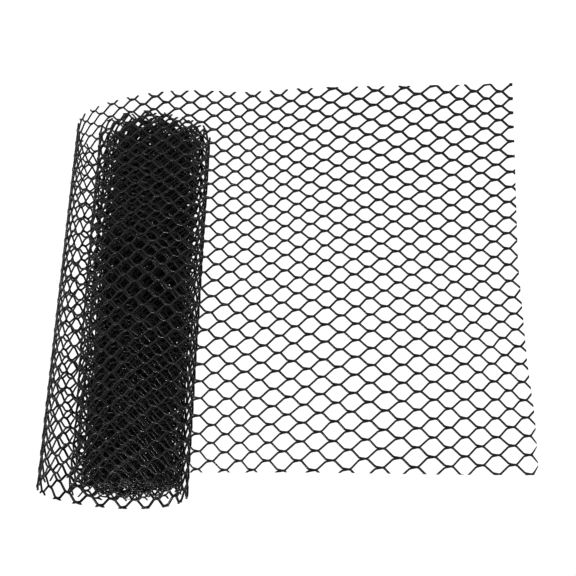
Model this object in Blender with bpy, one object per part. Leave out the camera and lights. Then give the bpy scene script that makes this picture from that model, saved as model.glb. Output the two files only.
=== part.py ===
"""A roll of black plastic safety net, partly unrolled and standing on one end.

The plan (x, y) follows the net's middle surface: a flat apron from the free end,
a loose turn that curls round behind, and the tightly wound roll inside it.
Z runs along the roll, from the end that it stands on. Lengths are in metres.
"""
from collections import namedtuple
from math import atan2, cos, pi, radians, sin

import bmesh
import bpy
import numpy as np

# Driving sizes
NET_WIDTH = 0.400          # from one cut edge to the other, which is the standing height
SHEET_THICKNESS = 0.0020
CLEARANCE = 0.0003         # between the loose turn and the roll that it runs into

# Plan of the loose part, from the free end to where it reaches the roll.
# The lean is how much larger x is at the top than at the foot.
Knot = namedtuple("Knot", "x y lean")
LOOSE_PLAN = (
    Knot(-0.2322, -0.0730, 0.0),
    Knot(-0.1327, -0.0722, 0.0),
    Knot(-0.0327, -0.0732, 0.0),
    Knot(0.0723, -0.0720, 0.0),
    Knot(0.1193, -0.0708, 0.0),
    Knot(0.1569, -0.0630, 0.0),
    Knot(0.1895, -0.0503, 0.0),
    Knot(0.2156, -0.0307, 0.0010),
    Knot(0.2281, -0.0060, 0.0030),
    Knot(0.2279, 0.0214, 0.0020),
    Knot(0.2127, 0.0477, 0.0),
    Knot(0.1852, 0.0670, 0.0),
    Knot(0.1487, 0.0740, 0.0),
    Knot(0.1167, 0.0640, 0.0),
    Knot(0.0972, 0.0428, 0.0),
)
LEAVING_RUN = 0.022        # straight run from there onto the roll

# The wound roll is an oval spiral that starts at its right end and runs round by the front.
# Each turn of the solid is two turns of net, pressed together.
ROLL_X = 0.1473
ROLL_Y = 0.006
ROLL_HALF_WIDTH = 0.0570
ROLL_HALF_DEPTH = 0.0355
ROLL_TILT = radians(6.0)   # its long axis, turned from the apron's
ROLL_TURNS = 6
TURN_PITCH = 0.0046
TURN_THICKNESS = 0.0036
RIGHT_SQUEEZE = 0.30       # the turns lie this much closer at the right end
PULL_FROM = 0.8            # the tight turns leave the outer one between these turns
PULL_TO = 1.5
STEPS_IN_TURN = 48

# Its two ends differ: overall size, and shares by which the tight turns are shorter at the
# left and flatter behind, and by which all turns bulge in front
RollEnd = namedtuple("RollEnd", "size left_pull back_pull front_bulge")
ROLL_FOOT = RollEnd(1.03, 0.19, 0.30, 0.16)
ROLL_TOP = RollEnd(0.97, 0.08, 0.45, 0.00)

# Meshes of the net, at twice the real pitch
MESH_LENGTH_FLAT = 0.0552  # along the net where it is drawn out flat
MESH_LENGTH_ROLLED = 0.0486
FLAT_MESHES = 6.0          # so many lie in the apron, the rest in the loose turn
MESH_HEIGHT = 0.0345
ROW_START = -0.0050        # the first row is cut through here, which leaves stubs
STRAND_WIDTH = 0.0038
JOINT_SHARE = 0.25         # length of a welded joint, as a share of a mesh
CLOSED_COLUMNS = 1         # half meshes left uncut beside the roll
PLAN_SAMPLES = 1200

NET_BLACK = (0.022, 0.022, 0.024, 1.0)


def clear_scene():
    for thing in list(bpy.data.objects):
        bpy.data.objects.remove(thing, do_unlink=True)


def net_material(name, roughness):
    material = bpy.data.materials.new(name)
    material.use_nodes = True
    shader = material.node_tree.nodes["Principled BSDF"]
    shader.inputs["Base Color"].default_value = NET_BLACK
    shader.inputs["Roughness"].default_value = roughness
    shader.inputs["Metallic"].default_value = 0.0
    return material


def smooth_share(value, start, end):
    share = min(max((value - start) / (end - start), 0.0), 1.0)
    return share * share * (3.0 - 2.0 * share)


def roll_point(turns, end, offset=0.0):
    """Plan point of the spiral at one end of the roll, moved outwards by the offset."""
    angle = 2.0 * pi * turns
    tight = smooth_share(turns, PULL_FROM, PULL_TO)
    to_left, to_right = max(-cos(angle), 0.0), max(cos(angle), 0.0)
    to_back, to_front = max(-sin(angle), 0.0), max(sin(angle), 0.0)
    inwards = TURN_PITCH * turns - offset
    half_width = (ROLL_HALF_WIDTH - inwards * (1.0 - RIGHT_SQUEEZE * to_right)) * end.size
    half_depth = (ROLL_HALF_DEPTH - inwards) * end.size
    across = -half_width * cos(angle) * (1.0 - end.left_pull * tight * to_left)
    deep = -half_depth * sin(angle) * (1.0 - end.back_pull * tight * to_back + end.front_bulge * to_front)
    return (
        ROLL_X + across * cos(ROLL_TILT) - deep * sin(ROLL_TILT),
        ROLL_Y + across * sin(ROLL_TILT) + deep * cos(ROLL_TILT),
    )


def reach_of(points):
    """Length along a row of points, at each of them."""
    steps = np.linalg.norm(np.diff(points, axis=0), axis=1)
    return np.concatenate([[0.0], np.cumsum(steps)])


def natural_spline(points, reach, samples):
    """A smooth curve through the points, which lie at the given reaches."""
    span = np.diff(reach)
    count = len(points)
    system = np.eye(count)
    bend = np.zeros_like(points)
    slope = np.diff(points, axis=0) / span[:, None]
    for i in range(1, count - 1):
        system[i, i - 1] = span[i - 1]
        system[i, i] = 2.0 * (span[i - 1] + span[i])
        system[i, i + 1] = span[i]
        bend[i] = 6.0 * (slope[i] - slope[i - 1])
    second = np.linalg.solve(system, bend)
    at = np.linspace(0.0, reach[-1], samples)
    part = np.clip(np.searchsorted(reach, at, side="right") - 1, 0, count - 2)
    left = (reach[part + 1] - at)[:, None]
    right = (at - reach[part])[:, None]
    h = span[part][:, None]
    return (
        (second[part] * left**3 + second[part + 1] * right**3) / (6.0 * h)
        + (points[part] / h - second[part] * h / 6.0) * left
        + (points[part + 1] / h - second[part + 1] * h / 6.0) * right
    )


def loose_knots(end, side):
    """Plan knots at one end of the net; the last two lie on the roll's end."""
    knots = [(knot.x + side * knot.lean / 2.0, knot.y) for knot in LOOSE_PLAN]
    x, y = roll_point(0.0, end)
    run = LEAVING_RUN * end.size
    return np.array([*knots, (x - run * sin(ROLL_TILT), y + run * cos(ROLL_TILT)), (x, y)])


class LoosePlan:
    """The loose part's two curves in plan, measured by the length along the net."""

    def __init__(self):
        foot, top = loose_knots(ROLL_FOOT, -1.0), loose_knots(ROLL_TOP, 1.0)
        reach = reach_of((foot + top) / 2.0)
        self.foot = natural_spline(foot, reach, PLAN_SAMPLES)
        self.top = natural_spline(top, reach, PLAN_SAMPLES)
        self.reach = reach_of((self.foot + self.top) / 2.0)
        self.length = float(self.reach[-1]) - CLEARANCE

    def place(self, along, z):
        share = z / NET_WIDTH
        plan = self.foot + (self.top - self.foot) * share
        x = float(np.interp(along, self.reach, plan[:, 0]))
        y = float(np.interp(along, self.reach, plan[:, 1]))
        return (x, y, z)


def column_place(column):
    """Length along the net at a half mesh, counted from the free end."""
    meshes = column / 2.0
    flat = min(meshes, FLAT_MESHES)
    return flat * MESH_LENGTH_FLAT + (meshes - flat) * MESH_LENGTH_ROLLED


def joint_corners(column, row):
    """The six corners of a welded joint, where two strands lie side by side."""
    half_joint = JOINT_SHARE * MESH_LENGTH_ROLLED / 2.0
    rise = MESH_HEIGHT / 2.0
    run = column_place(column + 1) - column_place(column) - 2.0 * half_joint
    slant = atan2(rise, run)
    half = STRAND_WIDTH / 2.0
    point = half_joint + half / sin(slant)
    shoulder = half_joint - half * (1.0 - cos(slant)) / sin(slant)
    x = column_place(column)
    z = ROW_START + row * MESH_HEIGHT / 2.0
    return {
        "left": (x - point, z),
        "low_left": (x - shoulder, z - half),
        "low_right": (x + shoulder, z - half),
        "right": (x + point, z),
        "top_right": (x + shoulder, z + half),
        "top_left": (x - shoulder, z + half),
    }


def flat_net(length):
    """The net laid out flat in X and Z: joints, slanting strands and the uncut strip."""
    columns = range(-1, int(2.0 * length / MESH_LENGTH_ROLLED) + 3)
    rows = range(-1, int(2.0 * (NET_WIDTH - ROW_START) / MESH_HEIGHT) + 3)
    mesh = bmesh.new()
    corners = {}
    for column in columns:
        for row in rows:
            if (column + row) % 2 == 0:
                corners[column, row] = {
                    name: mesh.verts.new((x, 0.0, z))
                    for name, (x, z) in joint_corners(column, row).items()
                }
    last_cut = max(c for c in columns if column_place(c) < length) - CLOSED_COLUMNS
    for (column, row), joint in corners.items():
        mesh.faces.new(joint.values())
        above = corners.get((column + 1, row + 1))
        below = corners.get((column + 1, row - 1))
        if above:
            mesh.faces.new((joint["right"], above["low_left"], above["left"], joint["top_right"]))
        if below:
            mesh.faces.new((joint["low_right"], below["left"], below["top_left"], joint["right"]))
        beyond = corners.get((column + 2, row))
        if above and below and beyond and column + 1 > last_cut:
            mesh.faces.new(
                (
                    joint["right"],
                    below["top_left"],
                    below["top_right"],
                    beyond["left"],
                    above["low_right"],
                    above["low_left"],
                )
            )
    return mesh


def trim(mesh, place, outward):
    """Cut the flat net along a line and drop what lies beyond it."""
    bmesh.ops.bisect_plane(
        mesh,
        geom=[*mesh.verts, *mesh.edges, *mesh.faces],
        dist=1e-6,
        plane_co=place,
        plane_no=outward,
        clear_outer=True,
    )


def make_object(name, mesh, material):
    data = bpy.data.meshes.new(name)
    mesh.normal_update()
    mesh.to_mesh(data)
    mesh.free()
    data.materials.append(material)
    thing = bpy.data.objects.new(name, data)
    bpy.context.scene.collection.objects.link(thing)
    return thing


def build_loose_net():
    plan = LoosePlan()
    mesh = flat_net(plan.length)
    trim(mesh, (0.0, 0.0, 0.0), (0.0, 0.0, -1.0))
    trim(mesh, (0.0, 0.0, NET_WIDTH), (0.0, 0.0, 1.0))
    trim(mesh, (0.0, 0.0, 0.0), (-1.0, 0.0, 0.0))
    trim(mesh, (plan.length, 0.0, 0.0), (1.0, 0.0, 0.0))
    for corner in mesh.verts:
        corner.co = plan.place(corner.co.x, corner.co.z)
    net = make_object("loose_net", mesh, net_material("net_strands", 0.45))
    wall = net.modifiers.new("sheet_thickness", "SOLIDIFY")
    wall.thickness = SHEET_THICKNESS
    wall.offset = 0.0
    wall.use_rim = True
    return net


def build_wound_roll():
    """The tight turns as one spiral wall, whose outer end the loose turn runs into."""
    face = SHEET_THICKNESS / 2.0
    mesh = bmesh.new()
    tops = {}
    rows = []
    for step in range(ROLL_TURNS * STEPS_IN_TURN + 1):
        turns = step / STEPS_IN_TURN
        row = []
        for offset in (face, face - TURN_THICKNESS):
            corner = mesh.verts.new((*roll_point(turns, ROLL_FOOT, offset), 0.0))
            tops[corner] = (*roll_point(turns, ROLL_TOP, offset), NET_WIDTH)
            row.append(corner)
        rows.append(row)
    for (outer, inner), (next_outer, next_inner) in zip(rows, rows[1:]):
        mesh.faces.new((outer, inner, next_inner, next_outer))
    raised = bmesh.ops.extrude_face_region(mesh, geom=list(mesh.faces))["geom"]
    for corner in raised:
        if isinstance(corner, bmesh.types.BMVert):
            below = [edge.other_vert(corner) for edge in corner.link_edges]
            corner.co = next(tops[vert] for vert in below if vert in tops)
    bmesh.ops.recalc_face_normals(mesh, faces=mesh.faces)
    roll = make_object("wound_roll", mesh, net_material("net_wound", 0.6))
    roll.data.shade_smooth()
    roll.data.set_sharp_from_angle(angle=radians(35.0))
    return roll


clear_scene()
build_wound_roll()
build_loose_net()
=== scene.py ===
"""A roll of black extruded safety net, partly unrolled and standing on one end.

It is all one net. Each stretch of it is modelled flat, as strands welded side by side at
their joints, drawn out as unevenly as the real one, cut, and bent onto the net's plan:
a flat apron, a loose turn behind it, and the wound turns inside that.
Lengths are in metres, and Z runs along the roll.
"""

from collections import namedtuple
from math import atan, cos, pi, radians, sin

import bmesh
import bpy
import numpy as np
from mathutils import Matrix, Vector


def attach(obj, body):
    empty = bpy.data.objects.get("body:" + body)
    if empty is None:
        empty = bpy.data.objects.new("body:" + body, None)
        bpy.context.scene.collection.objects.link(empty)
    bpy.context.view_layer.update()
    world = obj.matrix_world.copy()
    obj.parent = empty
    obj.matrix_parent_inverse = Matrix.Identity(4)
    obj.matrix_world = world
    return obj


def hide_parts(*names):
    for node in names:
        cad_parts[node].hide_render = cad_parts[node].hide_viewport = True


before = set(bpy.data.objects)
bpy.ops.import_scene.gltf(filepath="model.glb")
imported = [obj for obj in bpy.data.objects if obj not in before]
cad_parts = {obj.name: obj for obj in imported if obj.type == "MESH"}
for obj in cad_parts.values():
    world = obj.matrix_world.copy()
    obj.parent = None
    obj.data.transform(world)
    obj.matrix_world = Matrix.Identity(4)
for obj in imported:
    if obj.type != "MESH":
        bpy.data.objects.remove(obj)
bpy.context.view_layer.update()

# The net as it is made
NET_WIDTH = 0.400
ROW_HEIGHT = 0.01665
STRAND_RADIUS = 0.00101
STRAND_PLANES = 0.0005      # from the middle of one family of strands to the other's

# What is added to the strands' radius at the foot and at the top, by reach from the free end
Thickness = namedtuple("Thickness", "reach at_foot at_top")
THICKNESSES = (
    Thickness(0.360, 0.00009, -0.00014),
    Thickness(0.440, -0.00017, -0.00014),
    Thickness(0.500, -0.00012, -0.00004),
    Thickness(0.560, 0.00005, 0.00028),
    Thickness(0.660, 0.00005, 0.00028),
    Thickness(0.720, 0.00002, -0.00018),
)

# A strand's way up from one joint to the next, as shares of the run and of the rise.
# The two strands of a joint part slowly and turn off, and close in sharply at the next.
# The inner turns of the roll have the plain bends.
Bend = namedtuple("Bend", "run rise")
FINE_BENDS = (
    Bend(0.000, 0.030),
    Bend(0.060, 0.045),
    Bend(0.120, 0.062),
    Bend(0.180, 0.085),
    Bend(0.240, 0.115),
    Bend(0.300, 0.175),
    Bend(0.710, 0.870),
    Bend(0.770, 0.940),
    Bend(0.860, 0.985),
    Bend(1.000, 1.030),
)
PLAIN_BENDS = (
    Bend(0.000, 0.030),
    Bend(0.210, 0.100),
    Bend(0.300, 0.150),
    Bend(0.710, 0.880),
    Bend(0.800, 0.970),
    Bend(1.000, 1.030),
)

# Plan of the loose part, from the free end to where it reaches the roll.
# The lean is how much larger x is at the top than at the foot.
Knot = namedtuple("Knot", "x y lean")
LOOSE_PLAN = (
    Knot(-0.2322, -0.0730, 0.0),
    Knot(-0.1327, -0.0722, 0.0),
    Knot(-0.0327, -0.0732, 0.0),
    Knot(0.0723, -0.0720, 0.0),
    Knot(0.1193, -0.0708, 0.0),
    Knot(0.1569, -0.0630, 0.0),
    Knot(0.1895, -0.0503, 0.0),
    Knot(0.2156, -0.0307, 0.0010),
    Knot(0.2281, -0.0060, 0.0030),
    Knot(0.2279, 0.0214, 0.0020),
    Knot(0.2127, 0.0477, 0.0),
    Knot(0.1852, 0.0670, 0.0),
    Knot(0.1487, 0.0740, 0.0),
    Knot(0.1167, 0.0640, 0.0),
    Knot(0.0972, 0.0428, 0.0),
)
LEAVING_RUN = 0.022         # straight run from there onto the roll
PLAN_SAMPLES = 1200         # points along it

# The wound roll, an oval spiral that starts at its right end and runs round by the front
ROLL_X = 0.1473
ROLL_Y = 0.006
ROLL_HALF_WIDTH = 0.0570
ROLL_HALF_DEPTH = 0.0355
ROLL_TILT = radians(6.0)    # its long axis, turned from the apron's
ROLL_TURNS = 11.0
STEPS_IN_TURN = 240
TURN_PITCH = 0.0023         # from one turn to the next, but for the right end

# At the right end, the pitch of the outer turns and of the inner ones, and where in turns
# the first of them starts and how far it goes
RIGHT_SPREAD = 0.0030
RIGHT_TIGHT = 0.0009
RIGHT_FROM = 0.45
SPREAD_TURNS = 5.0

# The tight turns leave the outer one between these turns, and more slowly at the left end
PULL_FROM = 0.8
PULL_TO = 1.5
LEFT_PULL_TO = 3.8

# Its two ends differ: overall size, and shares by which all turns reach further left, the
# tight ones are shorter there and flatter behind, all turns bulge in front, and are fuller
# at the right end's two corners
RollEnd = namedtuple(
    "RollEnd", "size left_reach left_pull back_pull front_bulge back_corner front_corner"
)
ROLL_FOOT = RollEnd(1.03, 0.000, 0.30, 0.20, 0.15, 0.00, -0.10)
ROLL_TOP = RollEnd(0.97, 0.035, 0.17, 0.30, 0.00, 0.08, 0.00)
CORNER_PEAK = 0.25          # what the two squares that shape a corner make at most
NARROWING = 0.006           # how far each edge of the tight turns draws in at left and right

# The net as drawn out: an even net, and each station's drift from it in millimetres,
# along the net and in height, at five rows
FLAT_MESH = 0.0268          # length of a mesh in the apron
ROLLED_MESH = 0.0236        # and from there on
FLAT_MESHES = 12.5
MILLIMETRE = 0.001
Station = namedtuple("Station", "mesh foot low middle high top")
ALONG_DRIFT = (
    Station(0.0, -14.0, -6.5, 3.0, -2.0, -5.5),
    Station(3.0, -17.0, -3.0, -0.5, -6.0, -2.5),
    Station(6.0, -9.5, 2.0, -0.5, -1.5, 7.0),
    Station(9.0, -4.5, 0.0, -2.5, 5.0, 10.5),
    Station(12.5, -8.0, -7.0, -3.0, 7.5, 2.0),
    Station(16.0, -3.5, -0.5, 1.0, 4.5, 1.5),
    Station(20.0, -5.5, -1.0, -2.0, -3.0, -3.5),
    Station(24.0, -4.5, -2.5, -3.5, -6.5, -4.5),
    Station(28.0, -3.0, -5.5, -3.0, -4.5, -7.0),
)
HEIGHT_DRIFT = (
    Station(0.0, -7.0, -8.0, -7.5, -7.5, -5.5),
    Station(3.0, -9.5, -4.5, -5.5, -8.0, -4.0),
    Station(6.0, -2.0, -1.5, -6.0, -6.5, -1.0),
    Station(9.0, 8.0, 4.5, -2.5, -1.5, 0.0),
    Station(12.5, 6.5, -0.5, -3.5, -2.0, -3.0),
    Station(16.0, 4.0, -4.0, -3.0, -5.0, -6.0),
    Station(20.0, 7.0, 3.0, 6.0, -1.0, -3.0),
    Station(24.0, 8.0, 5.5, 3.0, -1.0, -1.5),
    Station(28.0, 4.5, 1.5, -3.0, -2.0, -1.5),
)
ROWS_AT = (0.0, 6.0, 12.0, 18.0, 24.0)

# Where the net is cut off: lengths at the same five rows for the free end, then heights of
# the two long edges, in millimetres
FREE_END_CUT = (0.0, 3.0, 6.0, 3.5, -3.5)
Edge = namedtuple("Edge", "along foot top")
EDGE_CUTS = (
    Edge(0.00, 0.0, 403.5),
    Edge(0.08, 0.0, 403.0),
    Edge(0.16, 0.0, 402.0),
    Edge(0.22, 1.5, 401.5),
    Edge(0.27, 4.0, 401.5),
    Edge(0.31, 1.0, 401.5),
    Edge(0.35, 0.0, 401.5),
    Edge(0.44, 1.0, 400.5),
    Edge(0.51, 1.0, 399.3),
    Edge(0.70, 1.0, 399.3),
    Edge(0.80, 0.0, 400.0),
)

# Small unevenness of the drawn net, as waves over it
Wave = namedtuple("Wave", "size along up phase")
ALONG_WAVES = (
    Wave(0.00035, 71.0, 43.0, 0.4),
    Wave(0.00025, -133.0, 97.0, 1.9),
    Wave(0.00020, 211.0, 151.0, 4.1),
)
HEIGHT_WAVES = (
    Wave(0.00030, 57.0, -61.0, 2.2),
    Wave(0.00020, 119.0, 83.0, 5.0),
    Wave(0.00015, -187.0, 139.0, 0.9),
)

# The wound net drifts more, so that no two turns have their meshes in line
WOUND_FROM = 27.0           # in meshes from the free end
WOUND_TO = 32.0
WOUND_ALONG_WAVES = (
    Wave(0.0030, 11.0, 14.0, 1.1),
    Wave(0.0018, 23.0, -9.0, 3.3),
    Wave(0.0008, 61.0, 31.0, 0.2),
)
WOUND_HEIGHT_WAVES = (
    Wave(0.0036, 19.0, 4.0, 2.7),
    Wave(0.0022, 43.0, -11.0, 0.6),
    Wave(0.0008, 97.0, 29.0, 4.4),
)
OUTWARD_WAVES = (
    Wave(0.0007, 37.0, 9.0, 0.8),
    Wave(0.0005, 83.0, -21.0, 2.9),
    Wave(0.0003, 171.0, 47.0, 5.3),
)
OUTWARD_FROM = 0.65         # in metres from the free end
OUTWARD_TO = 0.95

# The tight turns stand a little higher or lower than each other at either end
RISE_FROM = 0.95
RISE_TO = 1.15
FOOT_RISE = 0.0030
FOOT_RISE_WAVES = (Wave(0.0020, 9.0, 0.0, 0.5), Wave(0.0010, 31.0, 0.0, 2.1))
TOP_RISE_WAVES = (Wave(0.0018, 8.0, 0.0, 3.9), Wave(0.0012, 27.0, 0.0, 0.7))

# The stretches of net, each from one mesh to another, and the sides of their strands
Stretch = namedtuple("Stretch", "name first last mesh_length sides bends")
STRETCHES = (
    Stretch("apron", -1.0, 13.25, FLAT_MESH, 6, FINE_BENDS),
    Stretch("loose_turn", 13.25, 29.25, ROLLED_MESH, 6, FINE_BENDS),
    Stretch("wound_turns_1", 29.25, 47.25, ROLLED_MESH, 6, FINE_BENDS),
    Stretch("wound_turns_2", 47.25, 76.25, ROLLED_MESH, 5, PLAIN_BENDS),
    Stretch("wound_turns_3", 76.25, 105.25, ROLLED_MESH, 5, PLAIN_BENDS),
    Stretch("wound_turns_4", 105.25, 134.25, ROLLED_MESH, 5, PLAIN_BENDS),
)
SPARE_MESHES = 2            # laid out beyond each cut
SPARE_ROWS = 2
MERGE_DISTANCE = 0.00002
CUT_TOLERANCE = 0.000001
LENGTH_DIGITS = 4           # the stretches' lengths are given to a tenth of a millimetre

# Black plastic: two tones and two roughnesses, which soft blotches blend, and a fine grain.
# The wound net is a little duller, and its paler tones are painted light that lifts the shade
# inside the dense roll.
Finish = namedtuple("Finish", "name dark pale glossy dull")
LOOSE_FINISH = Finish("net_black", (0.009, 0.009, 0.010), (0.016, 0.016, 0.017), 0.24, 0.40)
# Paler tones than the loose net's: painted light for the shaded inside of the roll
WOUND_FINISH_PAINTED_LIGHT = Finish("wound_black_painted_light", (0.012, 0.012, 0.013), (0.020, 0.020, 0.021), 0.26, 0.44)
PLASTIC_IOR = 1.45
BLOTCH_SCALE = 60.0
BLOTCH_DETAIL = 4.0
BLOTCH_LOW = 0.35           # the blotches' noise at the dark tone
BLOTCH_HIGH = 0.65          # and at the pale one
GRAIN_SCALE = 1400.0
GRAIN_DETAIL = 2.0
GRAIN_STRENGTH = 0.35
GRAIN_DEPTH = 0.0002

# Light: an even pale surround and three soft lamps. The floor glows just white, and the
# view's gamma lets it eat into the thin strands as in the photograph.
WHITE = (1.0, 1.0, 1.0, 1.0)
SURROUND = 0.30
FLOOR_HALF = 8.0
FLOOR_GREY = (0.12, 0.12, 0.12, 1.0)
FLOOR_GLOW = 0.98
FLOOR_ROUGHNESS = 0.9
VIEW_GAMMA = 0.76
LAMP_AIM = (0.10, -0.02, 0.20)
Lamp = namedtuple("Lamp", "name place size power")
LAMPS = (
    Lamp("key_lamp", (0.60, -0.50, 0.85), 0.10, 8.0),
    Lamp("fill_lamp", (-1.10, -1.30, 1.60), 0.7, 16.0),
    Lamp("back_lamp", (0.30, 1.60, 1.30), 0.8, 4.5),
)

# The photograph's view: half a turn of roll puts the foot at the top of the picture
CAMERA_PLACE = (-0.0838, -1.1064, 0.6825)
CAMERA_TURN = radians(-4.09)
CAMERA_DOWN = radians(23.91)
CAMERA_ROLL = radians(181.18)
LENS = 75.0
SENSOR = 36.0

# The whole net in plan, at points along it: how far along, where its foot and its top lie,
# which way is outward, and how much its edges draw in
Plan = namedtuple("Plan", "reach foot top outward narrower")


def spline_weights(knots, places):
    """How much each knot's value counts at each place, on a natural cubic spline."""
    knots = np.array(knots, dtype=float)
    count = len(knots)
    span = np.diff(knots)
    system = np.eye(count)
    bend = np.zeros((count, count))
    for i in range(1, count - 1):
        before, after = span[i - 1], span[i]
        system[i, i - 1 : i + 2] = before, 2.0 * (before + after), after
        bend[i, i - 1 : i + 2] = 6.0 / before, -6.0 / before - 6.0 / after, 6.0 / after
    second = np.linalg.solve(system, bend)
    unit = np.eye(count)
    part = np.clip(np.searchsorted(knots, places, side="right") - 1, 0, count - 2)
    left = (knots[part + 1] - places)[:, None]
    right = (places - knots[part])[:, None]
    h = span[part][:, None]
    return (
        (second[part] * left**3 + second[part + 1] * right**3) / (6.0 * h)
        + (unit[part] / h - second[part] * h / 6.0) * left
        + (unit[part + 1] / h - second[part + 1] * h / 6.0) * right
    )


def reach_of(points):
    """Length along a row of points, at each of them."""
    steps = np.linalg.norm(np.diff(points, axis=0), axis=1)
    return np.concatenate([[0.0], np.cumsum(steps)])


def smooth_share(value, start, end):
    """How far a value has come from start to end, from 0 to 1, easing in and out."""
    share = np.clip((value - start) / (end - start), 0.0, 1.0)
    return share * share * (3.0 - 2.0 * share)


def spiral_points(turns, end):
    """Plan points of the wound net at one end of the roll."""
    angle = 2.0 * pi * turns
    tight = smooth_share(turns, PULL_FROM, PULL_TO)
    to_left, to_right = np.maximum(-np.cos(angle), 0.0), np.maximum(np.cos(angle), 0.0)
    to_back, to_front = np.maximum(-np.sin(angle), 0.0), np.maximum(np.sin(angle), 0.0)
    left_share = np.clip((turns - PULL_FROM) / (LEFT_PULL_TO - PULL_FROM), 0.0, 1.0)
    left_tight = left_share * (2.0 - left_share)
    spread = np.clip(turns - RIGHT_FROM, 0.0, SPREAD_TURNS)
    inner = np.maximum(turns - RIGHT_FROM - spread, 0.0)
    right_in = RIGHT_SPREAD * spread + RIGHT_TIGHT * inner
    half_width = ROLL_HALF_WIDTH - TURN_PITCH * turns * (1.0 - to_right) - right_in * to_right
    half_depth = ROLL_HALF_DEPTH - TURN_PITCH * turns
    longer = (end.left_reach - end.left_pull * left_tight) * to_left
    deeper = end.front_bulge * to_front - end.back_pull * tight * (to_back > 0.0)
    corners = end.back_corner * to_back**2 + end.front_corner * to_front**2
    fuller = end.size * (1.0 + corners * to_right**2 / CORNER_PEAK)
    across = -half_width * fuller * (1.0 + longer) * np.cos(angle)
    deep = -half_depth * fuller * (1.0 + deeper) * np.sin(angle)
    return np.column_stack(
        [
            ROLL_X + across * cos(ROLL_TILT) - deep * sin(ROLL_TILT),
            ROLL_Y + across * sin(ROLL_TILT) + deep * cos(ROLL_TILT),
        ]
    )


def loose_knots(end, side):
    """Plan knots at one end of the net; the last two lie on the roll's end."""
    knots = [(knot.x + side * knot.lean / 2.0, knot.y) for knot in LOOSE_PLAN]
    meets = spiral_points(np.array([0.0]), end)[0]
    away = meets + LEAVING_RUN * end.size * np.array([-sin(ROLL_TILT), cos(ROLL_TILT)])
    return np.array([*knots, away, meets])


def plan_of_net():
    """The whole net in plan: its curves at the foot and at the top, and its outward side."""
    foot, top = loose_knots(ROLL_FOOT, -1.0), loose_knots(ROLL_TOP, 1.0)
    reach = reach_of((foot + top) / 2.0)
    weights = spline_weights(reach, np.linspace(0.0, reach[-1], PLAN_SAMPLES))
    turns = np.linspace(0.0, ROLL_TURNS, int(ROLL_TURNS * STEPS_IN_TURN) + 1)[1:]
    foot = np.vstack([weights @ foot, spiral_points(turns, ROLL_FOOT)])
    top = np.vstack([weights @ top, spiral_points(turns, ROLL_TOP)])
    middle = (foot + top) / 2.0
    run = np.gradient(middle, axis=0)
    run /= np.linalg.norm(run, axis=1)[:, None]
    narrower = smooth_share(turns, PULL_FROM, PULL_TO) * np.cos(2.0 * pi * turns) ** 2
    narrower = np.concatenate([np.zeros(PLAN_SAMPLES), narrower])
    return Plan(reach_of(middle), foot, top, np.column_stack([run[:, 1], -run[:, 0]]), narrower)


def drift(table, meshes, rows):
    """A value of one of the two drift tables, in metres, at a mesh and a row."""
    at_mesh = spline_weights([station.mesh for station in table], meshes)
    at_row = spline_weights(ROWS_AT, rows)
    values = np.array([station[1:] for station in table])
    return MILLIMETRE * np.einsum("ij,jk,ik->i", at_mesh, values, at_row)


def waves(table, along, up):
    """Sum of a table's waves at a place on the net."""
    return sum(w.size * np.sin(w.along * along + w.up * up + w.phase) for w in table)


def drawn_out(meshes, rows):
    """Where a point of the regular net lies once the net is drawn out: length and height."""
    near = np.minimum(meshes, ALONG_DRIFT[-1].mesh)
    flat = np.minimum(meshes, FLAT_MESHES)
    along = flat * FLAT_MESH + (meshes - flat) * ROLLED_MESH + drift(ALONG_DRIFT, near, rows)
    height = rows * ROW_HEIGHT + drift(HEIGHT_DRIFT, near, rows)
    wound = smooth_share(meshes, WOUND_FROM, WOUND_TO)
    wound_along = wound * waves(WOUND_ALONG_WAVES, along, height)
    wound_height = wound * waves(WOUND_HEIGHT_WAVES, along, height)
    return (
        along + waves(ALONG_WAVES, along, height) + wound_along,
        height + waves(HEIGHT_WAVES, along, height) + wound_height,
    )


def bent(plan, along, out, height):
    """Corners of the drawn net, set on the plan between its foot's and its top's curve."""
    share = height / NET_WIDTH
    uneven = smooth_share(along, OUTWARD_FROM, OUTWARD_TO)
    out = out + uneven * waves(OUTWARD_WAVES, along, height)
    sides = []
    for axis in (0, 1):
        foot = np.interp(along, plan.reach, plan.foot[:, axis])
        top = np.interp(along, plan.reach, plan.top[:, axis])
        outward = np.interp(along, plan.reach, plan.outward[:, axis])
        sides.append(foot + (top - foot) * share + out * outward)
    narrower = NARROWING * np.interp(along, plan.reach, plan.narrower)
    foot_rise = FOOT_RISE + waves(FOOT_RISE_WAVES, along, height) + narrower
    top_rise = waves(TOP_RISE_WAVES, along, height) - narrower
    tight = smooth_share(along, RISE_FROM, RISE_TO)
    rise = tight * (foot_rise + (top_rise - foot_rise) * share)
    return np.column_stack([*sides, height + rise])


def ring_angles(bends, run, rise):
    """Angle of the strand's rings at its bends: halfway between the runs that meet there."""
    runs = [
        atan((after.rise - before.rise) * rise / ((after.run - before.run) * run))
        for before, after in zip(bends, bends[1:])
    ]
    neighbours = zip([runs[-1], *runs], [*runs, runs[0]])
    return [(before + after) / 2.0 for before, after in neighbours]


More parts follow.
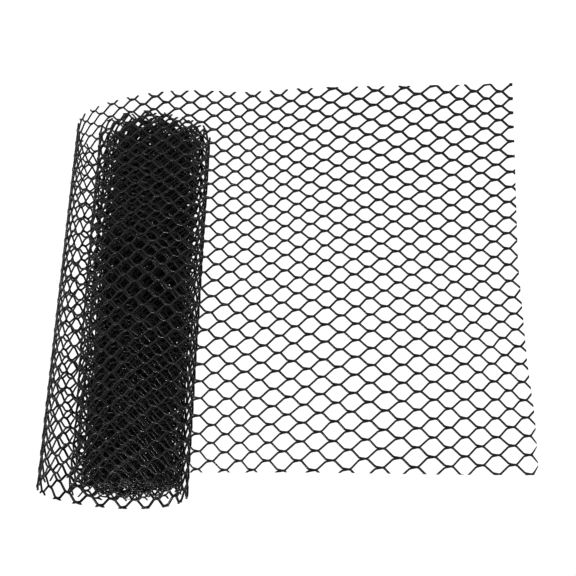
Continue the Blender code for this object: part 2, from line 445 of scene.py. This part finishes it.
def add_strand(mesh, stretch, upwards, plane):
    """A strand across one mesh, by way of the joint in its middle: a ring drawn along it."""
    run = stretch.mesh_length / 2.0
    rise = (ROW_HEIGHT if upwards else -ROW_HEIGHT) / 2.0
    angles = ring_angles(stretch.bends, run, rise)
    start = Vector((0.0, plane, 0.0 if upwards else ROW_HEIGHT))
    places = []
    for half in (0, 1):
        for bend, angle in list(zip(stretch.bends, angles))[half:]:
            step = Vector(((half + bend.run) * run, 0.0, (half + bend.rise) * rise))
            places.append((start + step, angle))
    at, turned = places[0]
    ring = bmesh.ops.create_circle(
        mesh,
        segments=stretch.sides,
        radius=STRAND_RADIUS,
        matrix=Matrix.Translation(at) @ Matrix.Rotation(pi / 2.0 - turned, 4, "Y"),
    )["verts"]
    edges = list({edge for corner in ring for edge in corner.link_edges})
    for place, angle in places[1:]:
        drawn = bmesh.ops.extrude_edge_only(mesh, edges=edges)["geom"]
        ring = [thing for thing in drawn if isinstance(thing, bmesh.types.BMVert)]
        edges = [thing for thing in drawn if isinstance(thing, bmesh.types.BMEdge)]
        turn = Matrix.Rotation(turned - angle, 3, "Y")
        bmesh.ops.translate(mesh, verts=ring, vec=place - at)
        bmesh.ops.rotate(mesh, verts=ring, cent=place, matrix=turn)
        at, turned = place, angle


def flat_net(stretch):
    """The stretch of net laid out flat and regular: X along it, Z across it."""
    mesh = bmesh.new()
    add_strand(mesh, stretch, upwards=False, plane=-STRAND_PLANES / 2.0)
    add_strand(mesh, stretch, upwards=True, plane=STRAND_PLANES / 2.0)
    bmesh.ops.recalc_face_normals(mesh, faces=mesh.faces)
    first = int(stretch.first) - SPARE_MESHES
    corner = (first * stretch.mesh_length, 0.0, -SPARE_ROWS * ROW_HEIGHT)
    bmesh.ops.translate(mesh, verts=mesh.verts, vec=corner)
    data = bpy.data.meshes.new(stretch.name)
    mesh.to_mesh(data)
    mesh.free()
    tile = bpy.data.objects.new(stretch.name, data)
    bpy.context.scene.collection.objects.link(tile)
    meshes = int(stretch.last) - first + SPARE_MESHES
    rows = int(NET_WIDTH / ROW_HEIGHT) + 2 * SPARE_ROWS
    repeats = (
        ("along", meshes, (stretch.mesh_length, 0.0, 0.0)),
        ("across", rows, (0.0, 0.0, ROW_HEIGHT)),
    )
    for name, count, offset in repeats:
        array = tile.modifiers.new(name, "ARRAY")
        array.count = count
        array.use_relative_offset = False
        array.use_constant_offset = True
        array.constant_offset_displace = offset
    repeated = tile.evaluated_get(bpy.context.evaluated_depsgraph_get())
    joined = bpy.data.meshes.new_from_object(repeated)
    bpy.data.objects.remove(tile)
    bpy.data.meshes.remove(data)
    net = bmesh.new()
    net.from_mesh(joined)
    bpy.data.meshes.remove(joined)
    bmesh.ops.remove_doubles(net, verts=net.verts, dist=MERGE_DISTANCE)
    return net


def trim(mesh, place, outward):
    """Cut the net along a line, and drop what lies beyond it."""
    bmesh.ops.bisect_plane(
        mesh,
        geom=[*mesh.verts, *mesh.edges, *mesh.faces],
        dist=CUT_TOLERANCE,
        plane_co=place,
        plane_no=outward,
        clear_outer=True,
    )


def corner_array(mesh):
    """All corners of a mesh, one in a row."""
    return np.array([corner.co[:] for corner in mesh.verts])


def set_corners(mesh, places):
    """Move the corners of a mesh to these places."""
    for corner, place in zip(mesh.verts, places.tolist()):
        corner.co = place


def edge_heights(along):
    """Heights of the net's two long edges at a reach, in metres."""
    places = [edge.along for edge in EDGE_CUTS]
    foot = np.interp(along, places, [edge.foot for edge in EDGE_CUTS])
    top = np.interp(along, places, [edge.top for edge in EDGE_CUTS])
    return MILLIMETRE * foot, MILLIMETRE * top


def free_end(height):
    """How far along the net its free end is cut off at a height, in metres."""
    return MILLIMETRE * np.interp(height / ROW_HEIGHT, ROWS_AT, FREE_END_CUT)


def trim_edges(mesh):
    """Cut the drawn net at its uneven edges: each is drawn straight, cut and put back."""
    corners = corner_array(mesh)
    foot, top = edge_heights(corners[:, 0])
    corners[:, 2] = (corners[:, 2] - foot) / (top - foot)
    set_corners(mesh, corners)
    trim(mesh, (0.0, 0.0, 0.0), (0.0, 0.0, -1.0))
    trim(mesh, (0.0, 0.0, 1.0), (0.0, 0.0, 1.0))
    corners = corner_array(mesh)
    foot, top = edge_heights(corners[:, 0])
    corners[:, 2] = foot + corners[:, 2] * (top - foot)
    corners[:, 0] -= free_end(corners[:, 2])
    set_corners(mesh, corners)
    trim(mesh, (0.0, 0.0, 0.0), (-1.0, 0.0, 0.0))
    corners = corner_array(mesh)
    corners[:, 0] += free_end(corners[:, 2])
    set_corners(mesh, corners)


def thicker(along, up):
    """What is added to the strands' radius, by reach and by share of the net's width."""
    reach, at_foot, at_top = np.array(THICKNESSES).T
    foot, top = np.interp(along, reach, at_foot), np.interp(along, reach, at_top)
    return foot * (1.0 - up) ** 2 + top * up**2


def make_stretch(stretch, plan, material):
    """One stretch of the net, drawn out, cut to the net's width and bent onto its plan."""
    mesh = flat_net(stretch)
    trim(mesh, (stretch.first * stretch.mesh_length, 0.0, 0.0), (-1.0, 0.0, 0.0))
    trim(mesh, (stretch.last * stretch.mesh_length, 0.0, 0.0), (1.0, 0.0, 0.0))
    corners = corner_array(mesh)
    corners[:, 0], corners[:, 2] = drawn_out(
        corners[:, 0] / stretch.mesh_length, corners[:, 2] / ROW_HEIGHT
    )
    set_corners(mesh, corners)
    trim_edges(mesh)
    trim(mesh, (plan.reach[-1], 0.0, 0.0), (1.0, 0.0, 0.0))
    for face in mesh.faces:
        face.smooth = True
    open_edges = [edge for edge in mesh.edges if edge.is_boundary]
    ends = bmesh.ops.holes_fill(mesh, edges=open_edges, sides=0)["faces"]
    for face in ends:
        face.smooth = False
    bmesh.ops.recalc_face_normals(mesh, faces=ends)
    mesh.normal_update()
    corners = corner_array(mesh)
    along = corners[:, 0]
    normals = np.array([corner.normal[:] for corner in mesh.verts])
    corners += thicker(along, corners[:, 2] / NET_WIDTH)[:, None] * normals
    set_corners(mesh, bent(plan, along, -corners[:, 1], corners[:, 2]))
    data = bpy.data.meshes.new(stretch.name)
    mesh.to_mesh(data)
    mesh.free()
    data.materials.append(material)
    piece = bpy.data.objects.new(stretch.name, data)
    bpy.context.scene.collection.objects.link(piece)
    length = float(along.max() - max(along.min(), 0.0))
    return piece, round(length, LENGTH_DIGITS)


def plastic(finish):
    """Black extruded plastic: uneven in tone and gloss, with a fine grain."""
    material = bpy.data.materials.new(finish.name)
    material.use_nodes = True
    nodes = material.node_tree.nodes
    links = material.node_tree.links
    shader = nodes["Principled BSDF"]
    shader.inputs["Metallic"].default_value = 0.0
    shader.inputs["IOR"].default_value = PLASTIC_IOR
    place = nodes.new("ShaderNodeTexCoord")
    blotches = nodes.new("ShaderNodeTexNoise")
    blotches.inputs["Scale"].default_value = BLOTCH_SCALE
    blotches.inputs["Detail"].default_value = BLOTCH_DETAIL
    links.new(place.outputs["Object"], blotches.inputs["Vector"])
    tone = nodes.new("ShaderNodeValToRGB")
    tone.color_ramp.elements[0].position = BLOTCH_LOW
    tone.color_ramp.elements[0].color = (*finish.dark, 1.0)
    tone.color_ramp.elements[1].position = BLOTCH_HIGH
    tone.color_ramp.elements[1].color = (*finish.pale, 1.0)
    links.new(blotches.outputs["Fac"], tone.inputs["Fac"])
    links.new(tone.outputs["Color"], shader.inputs["Base Color"])
    gloss = nodes.new("ShaderNodeMapRange")
    gloss.inputs["From Min"].default_value = BLOTCH_LOW
    gloss.inputs["From Max"].default_value = BLOTCH_HIGH
    gloss.inputs["To Min"].default_value = finish.glossy
    gloss.inputs["To Max"].default_value = finish.dull
    links.new(blotches.outputs["Fac"], gloss.inputs["Value"])
    links.new(gloss.outputs["Result"], shader.inputs["Roughness"])
    grain = nodes.new("ShaderNodeTexNoise")
    grain.inputs["Scale"].default_value = GRAIN_SCALE
    grain.inputs["Detail"].default_value = GRAIN_DETAIL
    links.new(place.outputs["Object"], grain.inputs["Vector"])
    bump = nodes.new("ShaderNodeBump")
    bump.inputs["Strength"].default_value = GRAIN_STRENGTH
    bump.inputs["Distance"].default_value = GRAIN_DEPTH
    links.new(grain.outputs["Fac"], bump.inputs["Height"])
    links.new(bump.outputs["Normal"], shader.inputs["Normal"])
    return material


def set_floor():
    """A wide white floor under the net."""
    mesh = bmesh.new()
    bmesh.ops.create_grid(mesh, x_segments=1, y_segments=1, size=FLOOR_HALF)
    data = bpy.data.meshes.new("floor")
    mesh.to_mesh(data)
    mesh.free()
    floor = bpy.data.objects.new("floor", data)
    bpy.context.scene.collection.objects.link(floor)
    white = bpy.data.materials.new("floor_white")
    white.use_nodes = True
    shader = white.node_tree.nodes["Principled BSDF"]
    shader.inputs["Base Color"].default_value = FLOOR_GREY
    shader.inputs["Roughness"].default_value = FLOOR_ROUGHNESS
    shader.inputs["Specular IOR Level"].default_value = 0.0
    shader.inputs["Emission Color"].default_value = WHITE
    shader.inputs["Emission Strength"].default_value = FLOOR_GLOW
    data.materials.append(white)


def set_light():
    """The pale surround, the view's tones and the three lamps."""
    world = bpy.data.worlds.new("studio")
    world.use_nodes = True
    sky = world.node_tree.nodes["Background"]
    sky.inputs["Color"].default_value = WHITE
    sky.inputs["Strength"].default_value = SURROUND
    bpy.context.scene.world = world
    bpy.context.scene.view_settings.view_transform = "Standard"
    bpy.context.scene.view_settings.gamma = VIEW_GAMMA
    for lamp in LAMPS:
        data = bpy.data.lights.new(lamp.name, "AREA")
        data.size = lamp.size
        data.energy = lamp.power
        shines = Vector(LAMP_AIM) - Vector(lamp.place)
        hung = bpy.data.objects.new(lamp.name, data)
        hung.location = lamp.place
        hung.rotation_euler = shines.to_track_quat("-Z", "Y").to_euler()
        bpy.context.scene.collection.objects.link(hung)


def set_camera():
    """The camera in the photograph's place."""
    data = bpy.data.cameras.new("camera")
    data.lens = LENS
    data.sensor_width = SENSOR
    camera = bpy.data.objects.new("camera", data)
    camera.matrix_world = (
        Matrix.Translation(CAMERA_PLACE)
        @ Matrix.Rotation(CAMERA_TURN, 4, "Z")
        @ Matrix.Rotation(pi / 2.0 - CAMERA_DOWN, 4, "X")
        @ Matrix.Rotation(CAMERA_ROLL, 4, "Z")
    )
    bpy.context.scene.collection.objects.link(camera)
    bpy.context.scene.camera = camera


set_floor()
set_light()
set_camera()
plan = plan_of_net()
strand_black = plastic(LOOSE_FINISH)
# The wound turns' paler finish is painted light for the roll's shaded inside
wound_black_painted_light = plastic(WOUND_FINISH_PAINTED_LIGHT)
for stretch in STRETCHES:
    wound = stretch.name.startswith("wound")
    piece, length = make_stretch(stretch, plan, wound_black_painted_light if wound else strand_black)
    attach(piece, "root")
    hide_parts("wound_roll" if wound else "loose_net")
